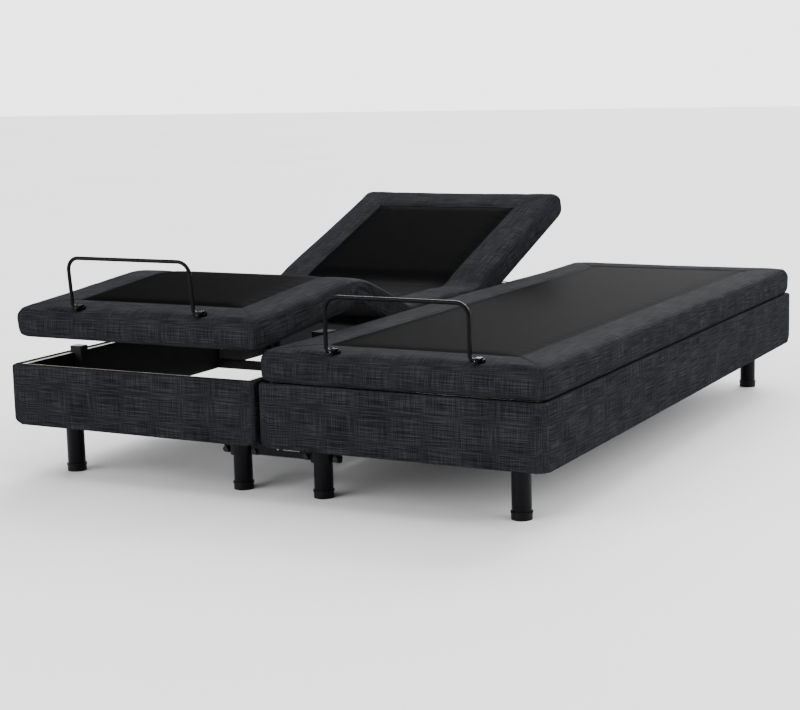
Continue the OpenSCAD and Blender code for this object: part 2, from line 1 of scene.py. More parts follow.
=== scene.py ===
"""Shows the split adjustable bed base: linen covers, non-slip panels, stitches and finishes."""

import json
import math

import bmesh
import bpy
import numpy as np
from bpy.props import FloatProperty, FloatVectorProperty, IntProperty, PointerProperty
from mathutils import Matrix, Vector, noise


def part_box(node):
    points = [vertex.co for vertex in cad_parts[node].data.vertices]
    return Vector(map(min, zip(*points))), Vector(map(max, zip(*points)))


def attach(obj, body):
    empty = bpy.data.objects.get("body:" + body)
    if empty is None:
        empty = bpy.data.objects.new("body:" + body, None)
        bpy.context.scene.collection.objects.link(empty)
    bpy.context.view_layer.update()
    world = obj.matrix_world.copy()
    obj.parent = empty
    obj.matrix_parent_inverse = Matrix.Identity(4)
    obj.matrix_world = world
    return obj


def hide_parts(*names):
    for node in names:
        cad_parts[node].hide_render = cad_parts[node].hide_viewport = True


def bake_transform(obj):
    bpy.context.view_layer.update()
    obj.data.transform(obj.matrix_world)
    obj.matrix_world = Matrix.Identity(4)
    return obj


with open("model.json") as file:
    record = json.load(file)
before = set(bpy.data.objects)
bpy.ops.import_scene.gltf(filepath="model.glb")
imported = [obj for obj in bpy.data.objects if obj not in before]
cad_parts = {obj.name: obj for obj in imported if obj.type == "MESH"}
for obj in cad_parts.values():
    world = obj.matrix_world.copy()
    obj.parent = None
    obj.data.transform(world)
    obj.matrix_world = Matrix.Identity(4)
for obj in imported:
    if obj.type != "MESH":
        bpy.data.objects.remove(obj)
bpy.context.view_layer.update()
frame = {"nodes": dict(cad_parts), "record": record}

bl_info = {
    "name": "Adjustable Bed Base",
    "version": (1, 0, 0),
    "blender": (4, 5, 0),
    "location": "3D View > Sidebar > Bed Base",
    "description": "Covers, seams and finishes of a split adjustable bed base",
    "category": "Object",
}

SIDES = ("left", "right")
JOINTS = {j["name"]: j for j in frame["record"]["behaviour"]["joints"]}
SLOT_OF = {s["node"]: s["material_slot"] for s in frame["record"]["subparts"]}


# ---- Sizes taken from the frame ----

def box(node):
    """The lowest and highest corners of a CAD node, as arrays."""
    low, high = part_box(node)
    return np.array(low), np.array(high)


def centre_x(side):
    """The x of a unit's middle line."""
    low, high = box(side + "_rail_cover")
    return (low[0] + high[0]) / 2


def hinge(name):
    """The y and z of a hinge line of the flat unit."""
    pos = JOINTS["right_" + name]["pos_m"]
    return pos[1], pos[2]


DECK_LOW, DECK_HIGH = box("right_foot_pad")
DECK_HALF = (DECK_HIGH[0] - DECK_LOW[0]) / 2
DECK_FOOT = DECK_LOW[1]
DECK_END = box("right_head_pad")[1][1]
DECK_BOTTOM, DECK_TOP = DECK_LOW[2], DECK_HIGH[2]
BOARD_HALF = DECK_HALF - 0.008
BOARD_TOP = box("right_seat_board")[1][2]
KNEE, THIGH, HEAD = hinge("knee_bend"), hinge("knee_lift"), hinge("head_lift")
CUT_THIGH = (KNEE[0] + THIGH[0]) / 2
CUT_SEAT = (THIGH[0] + HEAD[0]) / 2

# Half the length over which the cover bends round each hinge line
KNEE_BEND, THIGH_BEND, HEAD_BEND = 0.085, 0.075, 0.11


def rest_angle(side, joint):
    """How far a joint stands from flat as the object is stored, in radians."""
    return -math.radians(JOINTS[f"{side}_{joint}"]["range_deg"][0])


def knee_angle(side):
    """The knee's stored angle, from its coupling to the thigh."""
    ratios = {c["joint"]: c["ratio"] for c in frame["record"]["behaviour"]["couplings"]}
    return ratios[f"{side}_knee_bend"] * rest_angle(side, "knee_lift")


# ---- Settings ----

class BedBaseSettings(bpy.types.PropertyGroup):
    """Sizes and colours of the covers."""

    linen_dark: FloatVectorProperty(
        name="Linen dark", description="Colour of the linen's dark threads",
        subtype="COLOR", size=3, min=0, max=1, default=(0.003, 0.0032, 0.0037))
    linen_light: FloatVectorProperty(
        name="Linen light", description="Colour of the linen's pale slubs",
        subtype="COLOR", size=3, min=0, max=1, default=(0.034, 0.0353, 0.0395))
    panel_colour: FloatVectorProperty(
        name="Panel", description="Colour of the non-slip panel",
        subtype="COLOR", size=3, min=0, max=1, default=(0.0015, 0.0014, 0.0015))
    side_border: FloatProperty(
        name="Side border", description="Width of the linen beside the panel",
        default=0.1195, min=0.05, max=0.2, unit="LENGTH")
    foot_border: FloatProperty(
        name="Foot border", description="Width of the linen at the foot edge",
        default=0.129, min=0.05, max=0.2, unit="LENGTH")
    head_border: FloatProperty(
        name="Head border", description="Width of the linen at the head edge",
        default=0.133, min=0.05, max=0.2, unit="LENGTH")
    corner_radius: FloatProperty(
        name="Corner radius", description="Radius of the covers' upright corners",
        default=0.01, min=0.004, max=0.06, unit="LENGTH")
    edge_radius: FloatProperty(
        name="Edge radius", description="Radius of the deck's top edge",
        default=0.013, min=0.004, max=0.03, unit="LENGTH")
    grid: FloatProperty(
        name="Grid", description="Spacing of the cover's threads of vertices",
        default=0.0135, min=0.008, max=0.03, unit="LENGTH")
    swell_cap: FloatProperty(
        name="Swell cap", description="The furthest that the cloth may swell",
        default=0.0045, min=0.001, max=0.012, unit="LENGTH")
    stitch_pitch: FloatProperty(
        name="Stitch pitch", description="Distance from stitch to stitch",
        default=0.0065, min=0.004, max=0.02, unit="LENGTH")
    staple_pitch: FloatProperty(
        name="Staple pitch", description="Distance from staple to staple",
        default=0.055, min=0.02, max=0.2, unit="LENGTH")
    sim_frames: IntProperty(
        name="Cloth frames", description="Frames of the cloth simulation",
        default=18, min=4, max=40)


# ---- Materials ----

def new_material(name):
    """An empty node material and its tree."""
    made = bpy.data.materials.new(name)
    made.use_nodes = True
    made.node_tree.nodes.clear()
    return made, made.node_tree


def add(tree, kind, **values):
    """A node with its attributes set, and its inputs where a name matches one."""
    made = tree.nodes.new(kind)
    for key, value in values.items():
        if hasattr(made, key):
            setattr(made, key, value)
        else:
            made.inputs[key.replace("_", " ")].default_value = value
    return made


def link(tree, source, target):
    tree.links.new(source, target)


def surface(tree, **values):
    """The Principled shader joined to the output, with constants on its own sockets."""
    shader = tree.nodes.new("ShaderNodeBsdfPrincipled")
    output = tree.nodes.new("ShaderNodeOutputMaterial")
    link(tree, shader.outputs[0], output.inputs["Surface"])
    for key, value in values.items():
        shader.inputs[key.replace("_", " ")].default_value = value
    return shader


def stretched_noise(tree, source, scale, detail=2.0, rough=0.5):
    """Noise on coordinates that are scaled by three factors."""
    place = add(tree, "ShaderNodeMapping", vector_type="POINT", Scale=scale)
    link(tree, source, place.inputs["Vector"])
    made = add(tree, "ShaderNodeTexNoise", Scale=1.0, Detail=detail, Roughness=rough)
    link(tree, place.outputs[0], made.inputs["Vector"])
    return made.outputs["Fac"]


def blended(tree, first, second, factor=0.5):
    """Two grey values mixed."""
    made = add(tree, "ShaderNodeMix", data_type="FLOAT")
    made.inputs["Factor"].default_value = factor
    link(tree, first, made.inputs["A"])
    link(tree, second, made.inputs["B"])
    return made.outputs["Result"]


def ramp(tree, source, stops):
    """A colour ramp with (place, colour) stops."""
    made = tree.nodes.new("ShaderNodeValToRGB")
    line = made.color_ramp
    while len(line.elements) < len(stops):
        line.elements.new(0.5)
    for element, (place, colour) in zip(line.elements, stops):
        element.position = place
        element.color = (*colour, 1)
    link(tree, source, made.inputs["Fac"])
    return made.outputs["Color"]


def bump(tree, shader, height, strength, distance):
    made = add(tree, "ShaderNodeBump", Strength=strength, Distance=distance)
    link(tree, height, made.inputs["Height"])
    link(tree, made.outputs[0], shader.inputs["Normal"])


def mixed_colour(first, second, share):
    return tuple(a + (b - a) * share for a, b in zip(first, second))


def linen_material(settings):
    """Charcoal linen: long slubs along the cloth, finer threads across it."""
    made, tree = new_material("charcoal_linen")
    shader = surface(tree, Roughness=0.8, Specular_IOR_Level=0.008)
    cloth = tree.nodes.new("ShaderNodeUVMap").outputs[0]
    slubs = stretched_noise(tree, cloth, (11, 560, 1), 3.0, 0.62)
    across = stretched_noise(tree, cloth, (640, 16, 1), 2.0, 0.55)
    threads = stretched_noise(tree, cloth, (900, 900, 1), 1.0, 0.5)
    cloudy = stretched_noise(tree, cloth, (10, 14, 1), 2.0, 0.5)
    weave = blended(tree, slubs, across, 0.38)
    weave = blended(tree, weave, threads, 0.14)
    weave = blended(tree, weave, cloudy, 0.1)
    dark, light = settings.linen_dark, settings.linen_light
    colour = ramp(tree, weave, [
        (0.39, dark), (0.5, mixed_colour(dark, light, 0.3)), (0.63, light)])
    link(tree, colour, shader.inputs["Base Color"])
    bump(tree, shader, weave, 0.55, 0.0012)
    return made


def panel_material(settings):
    """The non-slip panel: a dark open knit with a dull face."""
    made, tree = new_material("non_slip_panel")
    shader = surface(tree, Roughness=0.45, Specular_IOR_Level=0.0008)
    cloth = tree.nodes.new("ShaderNodeUVMap").outputs[0]
    knit = stretched_noise(tree, cloth, (420, 420, 1), 1.0, 0.5)
    rows = stretched_noise(tree, cloth, (12, 260, 1), 2.0, 0.5)
    both = blended(tree, knit, rows, 0.35)
    base = settings.panel_colour
    colour = ramp(tree, both, [(0.35, tuple(c * 0.7 for c in base)),
                               (0.65, tuple(c * 1.5 for c in base))])
    link(tree, colour, shader.inputs["Base Color"])
    bump(tree, shader, both, 0.4, 0.0008)
    return made


def painted_material(name, colour, roughness, metallic=0.0, grain=90.0, depth=0.00012, level=0.12):
    """Paint, plating or plastic with faint orange peel and worn tone."""
    made, tree = new_material(name)
    shader = surface(tree, Metallic=metallic, Specular_IOR_Level=level)
    place = tree.nodes.new("ShaderNodeTexCoord").outputs["Object"]
    fine = stretched_noise(tree, place, (grain, grain, grain), 3.0, 0.6)
    broad = stretched_noise(tree, place, (9, 9, 9), 3.0, 0.55)
    colours = ramp(tree, broad, [
        (0.3, tuple(c * 0.85 for c in colour)), (0.7, tuple(min(1, c * 1.18) for c in colour))])
    link(tree, colours, shader.inputs["Base Color"])
    rough = add(tree, "ShaderNodeMapRange")
    for key, value in (("From Min", 0.3), ("From Max", 0.7),
                       ("To Min", roughness - 0.06), ("To Max", roughness + 0.07)):
        rough.inputs[key].default_value = value
    link(tree, fine, rough.inputs["Value"])
    link(tree, rough.outputs[0], shader.inputs["Roughness"])
    bump(tree, shader, fine, 0.35, depth)
    return made


def wood_material(name, dark, light, along, faces_dark=None):
    """Straight-grained board. Where faces_dark is given, upright faces are painted that colour by a normal mask,
    and only faces that point up show the grain; on the box's wood core this dark colour is painted shade for the
    inside of the box.
    """
    made, tree = new_material(name)
    shader = surface(tree, Roughness=0.72, Specular_IOR_Level=0.3)
    place = tree.nodes.new("ShaderNodeTexCoord").outputs["Object"]
    grain = stretched_noise(tree, place, along, 4.0, 0.6)
    pores = stretched_noise(tree, place, tuple(a * 6 for a in along), 2.0, 0.6)
    both = blended(tree, grain, pores, 0.3)
    colour = ramp(tree, both, [(0.36, dark), (0.64, light)])
    # Normal mask: upright faces take faces_dark, faces that point up keep the grain. On the box's wood core this
    # is painted shade for the box's inside.
    if faces_dark:
        split = tree.nodes.new("ShaderNodeSeparateXYZ")
        link(tree, tree.nodes.new("ShaderNodeNewGeometry").outputs["Normal"], split.inputs[0])
        upward = add(tree, "ShaderNodeMath", operation="GREATER_THAN")
        upward.inputs[1].default_value = 0.5
        link(tree, split.outputs["Z"], upward.inputs[0])
        mix = add(tree, "ShaderNodeMix", data_type="RGBA")
        mix.inputs["A"].default_value = (*faces_dark, 1)
        link(tree, upward.outputs[0], mix.inputs["Factor"])
        link(tree, colour, mix.inputs["B"])
        colour = mix.outputs["Result"]
    link(tree, colour, shader.inputs["Base Color"])
    bump(tree, shader, both, 0.3, 0.0006)
    return made


def material(name):
    """A material by name, made by the finishes operator."""
    return bpy.data.materials[name]


# ---- Mesh helpers ----

def mesh_object(name, verts, faces, materials, uvs=None, slots=None, smooth=True):
    """A linked object at the origin from plain arrays. uvs has one pair for each face corner."""
    mesh = bpy.data.meshes.new(name)
    mesh.from_pydata([tuple(v) for v in verts], [], faces)
    made = bpy.data.objects.new(name, mesh)
    bpy.context.scene.collection.objects.link(made)
    for m in materials:
        mesh.materials.append(m)
    if uvs is not None:
        layer = mesh.uv_layers.new(name="UVMap")
        layer.data.foreach_set("uv", np.array(uvs, np.float32).ravel())
    if slots is not None:
        mesh.polygons.foreach_set("material_index", slots)
    mesh.polygons.foreach_set("use_smooth", [smooth] * len(mesh.polygons))
    mesh.update()
    return made


def points_of(mesh):
    made = np.empty(len(mesh.vertices) * 3)
    mesh.vertices.foreach_get("co", made)
    return made.reshape(-1, 3)


def applied(obj):
    """Turns an object's modifiers into a plain mesh."""
    graph = bpy.context.evaluated_depsgraph_get()
    plain = bpy.data.meshes.new_from_object(obj.evaluated_get(graph), depsgraph=graph)
    obj.modifiers.clear()
    old = obj.data
    obj.data = plain
    plain.name = obj.name
    bpy.data.meshes.remove(old)
    return obj


def evenly(low, high, spacing):
    """Stations from low to high, about that far apart."""
    return np.linspace(low, high, max(2, round(abs(high - low) / spacing) + 1))


def smoothstep(t):
    t = np.clip(t, 0, 1)
    return t * t * (3 - 2 * t)


def turned(points, pivot, angles):
    """Points turned about the X axis at a pivot (y, z), each by its own angle."""
    y, z = points[:, 1] - pivot[0], points[:, 2] - pivot[1]
    made = points.copy()
    made[:, 1] = pivot[0] + y * np.cos(angles) - z * np.sin(angles)
    made[:, 2] = pivot[1] + y * np.sin(angles) + z * np.cos(angles)
    return made


def folded(points, side):
    """Points of the flat deck cover, bent as the unit is stored."""
    y = points[:, 1]
    knee = smoothstep((KNEE[0] + KNEE_BEND - y) / (2 * KNEE_BEND))
    thigh = smoothstep((THIGH[0] + THIGH_BEND - y) / (2 * THIGH_BEND))
    head = smoothstep((y - HEAD[0] + HEAD_BEND) / (2 * HEAD_BEND))
    made = turned(points, KNEE, knee * knee_angle(side))
    made = turned(made, THIGH, -thigh * rest_angle(side, "knee_lift"))
    return turned(made, HEAD, head * rest_angle(side, "head_lift"))


def folded_point(y, side):
    """Where a point on the deck's middle line at hinge height stands when stored."""
    return tuple(folded(np.array([[centre_x(side), y, KNEE[1]]]), side)[0])


# ---- Deck cover, flat ----

class DeckSheet:
    """The cover of one flat unit as a single layer: four swept sides and the panel."""

    def __init__(self, settings):
        self.s = settings
        self.verts, self.index, self.faces, self.uvs, self.slots = [], {}, [], [], []
        self.seam, self.hem = set(), set()
        half, radius = DECK_HALF, settings.corner_radius
        self.mat_x = evenly(-half + settings.side_border, half - settings.side_border, settings.grid)
        low, high = DECK_FOOT + settings.foot_border, DECK_END - settings.head_border
        parts = [(low, CUT_THIGH), (CUT_THIGH, CUT_SEAT), (CUT_SEAT, high)]
        self.mat_y = np.unique(np.concatenate([evenly(a, b, settings.grid) for a, b in parts]).round(7))
        self.path = self.outline(radius)
        self.build()

    def outline(self, radius):
        """Stations round the deck: side name, place along the side, and corner angle."""
        s, half = self.s, DECK_HALF
        gap_x = evenly(-half + radius, self.mat_x[0], s.grid)[:-1]
        xs = np.concatenate([gap_x, self.mat_x, -gap_x[::-1]])
        gap_foot = evenly(DECK_FOOT + radius, self.mat_y[0], s.grid)[:-1]
        gap_head = evenly(self.mat_y[-1], DECK_END - radius, s.grid)[1:]
        ys = np.concatenate([gap_foot, self.mat_y, gap_head])
        turns = [k / 8 for k in range(1, 8)]
        path = [("foot", x, 0) for x in xs]
        path += [("foot_right", 0, t) for t in turns]
        path += [("right", y, 0) for y in ys]
        path += [("right_head", 0, t) for t in turns]
        path += [("head", x, 0) for x in xs[::-1]]
        path += [("head_left", 0, t) for t in turns]
        path += [("left", y, 0) for y in ys[::-1]]
        path += [("left_foot", 0, t) for t in turns]
        return path

    def place(self, station, inward, share):
        """The x and y of a station, moved inward. share runs from 0 at the edge to 1 at the panel."""
        s, half, radius = self.s, DECK_HALF, self.s.corner_radius
        name, along, turn = station
        limit_x = half - share * s.side_border
        low, high = DECK_FOOT + share * s.foot_border, DECK_END - share * s.head_border
        near = max(share * s.side_border, inward)
        if name in ("foot", "head"):
            y = low if name == "foot" else high
            if share == 0:
                y = DECK_FOOT + inward if name == "foot" else DECK_END - inward
            return np.clip(along, -limit_x, limit_x), y
        if name in ("left", "right"):
            x = (half - near) * (1 if name == "right" else -1)
            return x, np.clip(along, low, high)
        starts = {"foot_right": -90, "right_head": 0, "head_left": 90, "left_foot": 180}
        angle = math.radians(starts[name] + 90 * turn)
        across = 1 if name in ("foot_right", "right_head") else -1
        up = 1 if name in ("right_head", "head_left") else -1
        if near < radius:
            centre = (across * (half - radius), (DECK_END - radius) if up > 0 else (DECK_FOOT + radius))
            reach = radius - near
            return centre[0] + reach * math.cos(angle), centre[1] + reach * math.sin(angle)
        return across * limit_x, high if up > 0 else low

    def vert(self, x, y, z):
        key = (round(x, 5), round(y, 5), round(z, 5))
        if key not in self.index:
            self.index[key] = len(self.verts)
            self.verts.append((x, y, z))
        return self.index[key]

    def face(self, corners, uvs, slot):
        """A face without the corners that fall together."""
        keep = [k for k in range(len(corners)) if corners[k] != corners[k - 1]]
        if len({corners[k] for k in keep}) >= 3:
            self.faces.append([corners[k] for k in keep])
            self.uvs.extend(uvs[k] for k in keep)
            self.slots.append(slot)

    def profile(self):
        """Rows from hem to panel: inward distance, share of the border, height, cloth length."""
        s = self.s
        rise = DECK_TOP - DECK_BOTTOM - s.edge_radius
        rows = []
        rows.append((0.0055, 0, DECK_BOTTOM, -0.004))
        for t in (0.05, 0.16, 0.33, 0.5, 0.67, 0.84, 1):
            belly = 0.0035 * math.sin(math.pi * t)
            rows.append((0.0012 - belly, 0, DECK_BOTTOM + t * rise, t * rise))
        for k in range(1, 4):
            a = math.radians(30 * k)
            rows.append((s.edge_radius * (1 - math.cos(a)), 0,
                         DECK_BOTTOM + rise + s.edge_radius * math.sin(a), rise + s.edge_radius * a))
        flat = s.side_border - s.edge_radius
        start = s.edge_radius / s.side_border
        for t in np.linspace(0, 1, 9)[1:]:
            share = start + (1 - start) * t
            rows.append((0, share, DECK_TOP + 0.0015 * t, rise + 1.57 * s.edge_radius + t * flat))
        return rows

    def build(self):
        rows = self.profile()
        edge_share = self.s.edge_radius / self.s.side_border
        grid, lengths = [], [0.0]
        for k, station in enumerate(self.path):
            line = []
            for inward, share, z, _ in rows:
                if z >= DECK_TOP and share == 0:
                    share = edge_share
                x, y = self.place(station, inward, share)
                line.append((x, y, z))
            grid.append(line)
            if k:
                a, b = grid[k - 1][0], grid[k][0]
                lengths.append(lengths[-1] + math.hypot(a[0] - b[0], a[1] - b[1]))
        count = len(self.path)
        first, last = grid[-1][0], grid[0][0]
        lengths.append(lengths[-1] + math.hypot(first[0] - last[0], first[1] - last[1]))
        ids = [[self.vert(*p) for p in line] for line in grid]
        for k in range(count):
            self.hem.add(ids[k][0])
            self.seam.add(ids[k][-1])
            n = (k + 1) % count
            for r in range(len(rows) - 1):
                corners = [ids[k][r], ids[n][r], ids[n][r + 1], ids[k][r + 1]]
                uvs = [(lengths[k], rows[r][3]), (lengths[k + 1], rows[r][3]),
                       (lengths[k + 1], rows[r + 1][3]), (lengths[k], rows[r + 1][3])]
                self.face(corners, uvs, 0)
        top = DECK_TOP + 0.0015
        mats = [[self.vert(x, y, top) for x in self.mat_x] for y in self.mat_y]
        for j in range(len(self.mat_y) - 1):
            for i in range(len(self.mat_x) - 1):
                corners = [mats[j][i], mats[j][i + 1], mats[j + 1][i + 1], mats[j + 1][i]]
                uvs = [(self.mat_x[a], self.mat_y[b]) for a, b in ((i, j), (i + 1, j), (i + 1, j + 1), (i, j + 1))]
                self.face(corners, uvs, 1)

    def on_mitre(self, x, y):
        """True on the diagonal seams from the deck's corners to the panel's corners."""
        s = self.s
        share_x = (DECK_HALF - abs(x)) / s.side_border
        share_y = min((y - DECK_FOOT) / s.foot_border, (DECK_END - y) / s.head_border)
        return 0.12 < share_x < 0.99 and abs(share_x - share_y) < 0.004


def sewn(points, sheet):
    """Draws the seams in: the panel's edge, the mitres and the corner seams."""
    made = points.copy()
    for k in sheet.seam:
        made[k, 2] -= 0.0022
    for k, (x, y, z) in enumerate(points):
        if z > DECK_TOP - 1e-4 and sheet.on_mitre(x, y):
            made[k, 2] -= 0.0016
    for station in [p for p in sheet.path if abs(p[2] - 0.5) < 1e-6]:
        for inward, share, z, _ in sheet.profile():
            x, y = sheet.place(station, inward, share)
            key = (round(x, 5), round(y, 5), round(z, 5))
            if share == 0 and key in sheet.index:
                k = sheet.index[key]
                made[k, 0] -= math.copysign(0.0011, x)
                made[k, 1] -= math.copysign(0.0011, y)
    return made


def eased(points):
    """Rounds the deck's four corners in height, where the cloth is gathered under."""
    made = points.copy()
    to_end = np.minimum(points[:, 1] - DECK_FOOT, DECK_END - points[:, 1])
    gap = np.maximum(DECK_HALF - np.abs(points[:, 0]), 0) + np.maximum(to_end, 0)
    near = np.exp(-(gap / 0.02) ** 2)
    made[:, 2] -= near * 0.009 * smoothstep((points[:, 2] - DECK_TOP + 0.03) / 0.03)
    low = np.clip(1 - (points[:, 2] - DECK_BOTTOM) / 0.02, 0, 1)
    tuck = near * 0.011 * (1 - np.sqrt(1 - low ** 2))
    made[:, 0] -= np.sign(points[:, 0]) * tuck
    made[:, 1] += np.where(points[:, 1] < 0, tuck, -tuck)
    return made


def swollen(obj, sheet, settings):
    """Cloth simulation of the cover on its foam, with the hem and seams held."""
    rest = points_of(obj.data)
    held = obj.vertex_groups.new(name="held")
    held.add(list(sheet.hem), 1.0, "REPLACE")
    held.add(list(sheet.seam), 0.85, "REPLACE")
    cloth = obj.modifiers.new("Cloth", "CLOTH")
    c = cloth.settings
    c.quality = 5
    c.mass = 0.4
    c.tension_stiffness = c.compression_stiffness = 12
    c.shear_stiffness = 6
    c.bending_stiffness = 0.35
    c.use_pressure = True
    c.uniform_pressure_force = 1.6
    c.shrink_min = -0.004
    c.vertex_group_mass = "held"
    c.effector_weights.gravity = 0
    cloth.collision_settings.use_collision = False
    scene = bpy.context.scene
    for number in range(1, settings.sim_frames + 1):
        scene.frame_set(number)
    graph = bpy.context.evaluated_depsgraph_get()
    moved = points_of(obj.evaluated_get(graph).data)
    obj.modifiers.clear()
    scene.frame_set(1)
    shift = moved - rest
    length = np.linalg.norm(shift, axis=1, keepdims=True) + 1e-9
    return rest + shift / length * settings.swell_cap * np.tanh(length / settings.swell_cap)


def pulled(points):
    """Puckers at the retainer's feet, in the flat deck."""
    made = points.copy()
    for part in (0, 1):
        clip_low, clip_high = CLIPS[part]
        mid = (clip_low + clip_high) / 2
        dx, dy = points[:, 0] - clip_high[0] + 0.004, points[:, 1] - mid[1]
        tail = np.exp(-(dy / 0.006) ** 2) * smoothstep(1 - dx / 0.05) * (dx > 0)
        dip = np.exp(-((points[:, 0] - mid[0]) / 0.02) ** 2 - (dy / 0.03) ** 2)
        on_top = points[:, 2] > DECK_TOP - 0.004
        made[:, 2] -= on_top * (0.0035 * tail + 0.0025 * dip)
    return made


def clip_places():
    """The two clips of the flat unit, as boxes about the unit's middle line."""
    low, high = box("right_retainer_clips")
    width = (high[1] - low[1]) * 0.29
    x = centre_x("right")
    left = (np.array([low[0] - x, low[1], low[2]]),
            np.array([low[0] - x + width, high[1], high[2]]))
    right = (np.array([high[0] - x - width, low[1], low[2]]), np.array([high[0] - x, high[1], high[2]]))
    return left, right


CLIPS = clip_places()


def knee_folds(points, angle):
    """Soft folds where the side cloth gathers above and below a bent knee."""
    made = points.copy()
    side = smoothstep((np.abs(points[:, 0]) - DECK_HALF + 0.02) / 0.018)
    y, z = points[:, 1] - KNEE[0], points[:, 2] - KNEE[1]
    reach = np.hypot(y, z * 1.25)
    crest = np.exp(-(y / 0.05) ** 2) * smoothstep(z / 0.06)
    made[:, 2] -= 0.021 * angle * crest
    for radius, depth in ((0.040, 0.0042), (0.068, 0.003)):
        ring = np.exp(-((reach - radius) / 0.008) ** 2)
        made[:, 0] -= np.sign(points[:, 0]) * side * ring * depth * angle * 2
    return made


# ---- Cover pieces ----

def thick_piece(name, verts, faces, uvs, slots, inner, materials):
    """A closed shell: the outer layer, its inner partner and a strip round every free edge."""
    count = len(verts)
    edges = {}
    for f in faces:
        for a, b in zip(f, f[1:] + f[:1]):
            edges[(a, b)] = edges.get((a, b), 0) + 1
    free = [(a, b) for a, b in edges if (b, a) not in edges]
    all_faces, all_uvs, all_slots = list(faces), list(uvs), list(slots)
    start = 0
    for f, slot in zip(faces, slots):
        corner = uvs[start:start + len(f)]
        start += len(f)
        all_faces.append([v + count for v in reversed(f)])
        all_uvs.extend(reversed(corner))
        all_slots.append(slot)
    for a, b in free:
        all_faces.append([b, a, a + count, b + count])
        all_uvs.extend([(0, 0), (0.01, 0), (0.01, 0.01), (0, 0.01)])
        all_slots.append(0)
    made = mesh_object(name, np.vstack([verts, inner]), all_faces, materials, all_uvs, all_slots)
    rims = {tuple(sorted(e)) for a, b in free for e in ((a, b), (a + count, b + count))}
    sharp = made.data.attributes.new("sharp_edge", "BOOLEAN", "EDGE")
    sharp.data.foreach_set("value", [tuple(sorted(e.vertices)) in rims for e in made.data.edges])
    return made


def inner_points(points):
    """The inside of the flat cover: up the skirt, then flat on the boards."""
    made = points.copy()
    low, high = DECK_FOOT + 0.0085, DECK_END - 0.0085
    made[:, 0] = np.clip(made[:, 0], -BOARD_HALF - 0.0004, BOARD_HALF + 0.0004)
    made[:, 1] = np.clip(made[:, 1], low, high)
    made[:, 2] = np.minimum(made[:, 2], BOARD_TOP + 0.0005)
    return made


def split_faces(mesh, low, high):
    """The faces of a mesh between two y places, with their vertices, UVs and slots."""
    layer = mesh.uv_layers[0].data
    points = points_of(mesh)
    faces, uvs, slots, used = [], [], [], {}
    for p in mesh.polygons:
        if not low < p.center.y <= high:
            continue
        faces.append([used.setdefault(v, len(used)) for v in p.vertices])
        uvs.extend(tuple(layer[k].uv) for k in p.loop_indices)
        slots.append(p.material_index)
    return points[list(used)], faces, uvs, slots


PIECES = (
    ("foot_cover", -9.0, CUT_THIGH, "foot", "thigh", KNEE[0], KNEE_BEND, ("foot_pad",)),
    ("seat_cover", CUT_THIGH, CUT_SEAT, "thigh", "root", THIGH[0], THIGH_BEND, ("thigh_pad", "seat_pad")),
    ("head_cover", CUT_SEAT, 9.0, "root", "head", HEAD[0], HEAD_BEND, ("head_pad",)),
)


class BEDBASE_OT_deck_covers(bpy.types.Operator):
    """Make the upholstered deck covers, bent as each unit is stored"""

    bl_idname = "bedbase.deck_covers"
    bl_label = "Deck Covers"

    def execute(self, context):
        settings = context.scene.bed_base
        sheet = DeckSheet(settings)
        looks = [material("charcoal_linen"), material("non_slip_panel")]
        flat = mesh_object("deck_sheet", sheet.verts, sheet.faces, looks, sheet.uvs, sheet.slots)
        points = eased(sewn(points_of(flat.data), sheet))
        flat.data.vertices.foreach_set("co", points.ravel())
        points = swollen(flat, sheet, settings)
        flat.data.vertices.foreach_set("co", pulled(points).ravel())
        flat.modifiers.new("Finer", "SUBSURF").levels = 1
        flat.modifiers["Finer"].render_levels = 1
        applied(flat)
        for side in SIDES:
            for name, low, high, first, second, middle, reach, pads in PIECES:
                verts, faces, uvs, slots = split_faces(flat.data, low, high)
                inner = inner_points(verts)
                verts = knee_folds(verts, knee_angle(side))
                shift = np.array([centre_x(side), 0, 0])
                made = thick_piece(
                    f"{side}_{name}", folded(verts + shift, side), faces, uvs, slots,
                    folded(inner + shift, side), looks)
                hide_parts(*[f"{side}_{pad}" for pad in pads])
                folded_point(middle - reach, side)
                folded_point(middle + reach, side)
                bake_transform(made)
        bpy.data.objects.remove(flat)
        return {"FINISHED"}


# ---- Box covers ----

class BEDBASE_OT_box_covers(bpy.types.Operator):
    """Make the linen stretched over the two boxes"""

    bl_idname = "bedbase.box_covers"
    bl_label = "Box Covers"

    def execute(self, context):
        settings = context.scene.bed_base
        for side in SIDES:
            made = box_cover(side, settings)
            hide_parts(side + "_rail_cover")
            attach(made, "root")
        return {"FINISHED"}


def box_outline(half_x, half_y, radius, spacing):
    """Stations round a box: centre of the curve, outward direction, distance to the corner."""
    made = []
    turns = 6
    close = (0.002, 0.005, 0.009, 0.013, 0.018, 0.025)
    corners = [(1, -1, -90), (1, 1, 0), (-1, 1, 90), (-1, -1, 180)]
    for k, (sx, sy, start) in enumerate(corners):
        centre = np.array([sx * (half_x - radius), sy * (half_y - radius)])
        for t in range(turns + 1):
            a = math.radians(start + 90 * t / turns)
            made.append((centre, np.array([math.cos(a), math.sin(a)]), 0.0))
        nx, ny, _ = corners[(k + 1) % 4]
        after = np.array([nx * (half_x - radius), ny * (half_y - radius)])
        a = math.radians(start + 90)
        way = np.array([math.cos(a), math.sin(a)])
        length = np.linalg.norm(after - centre)
        places = [*close, *evenly(0.04, length - 0.04, spacing), *(length - c for c in reversed(close))]
        for d in places:
            made.append((centre + (after - centre) * d / length, way, min(d, length - d)))
    return made


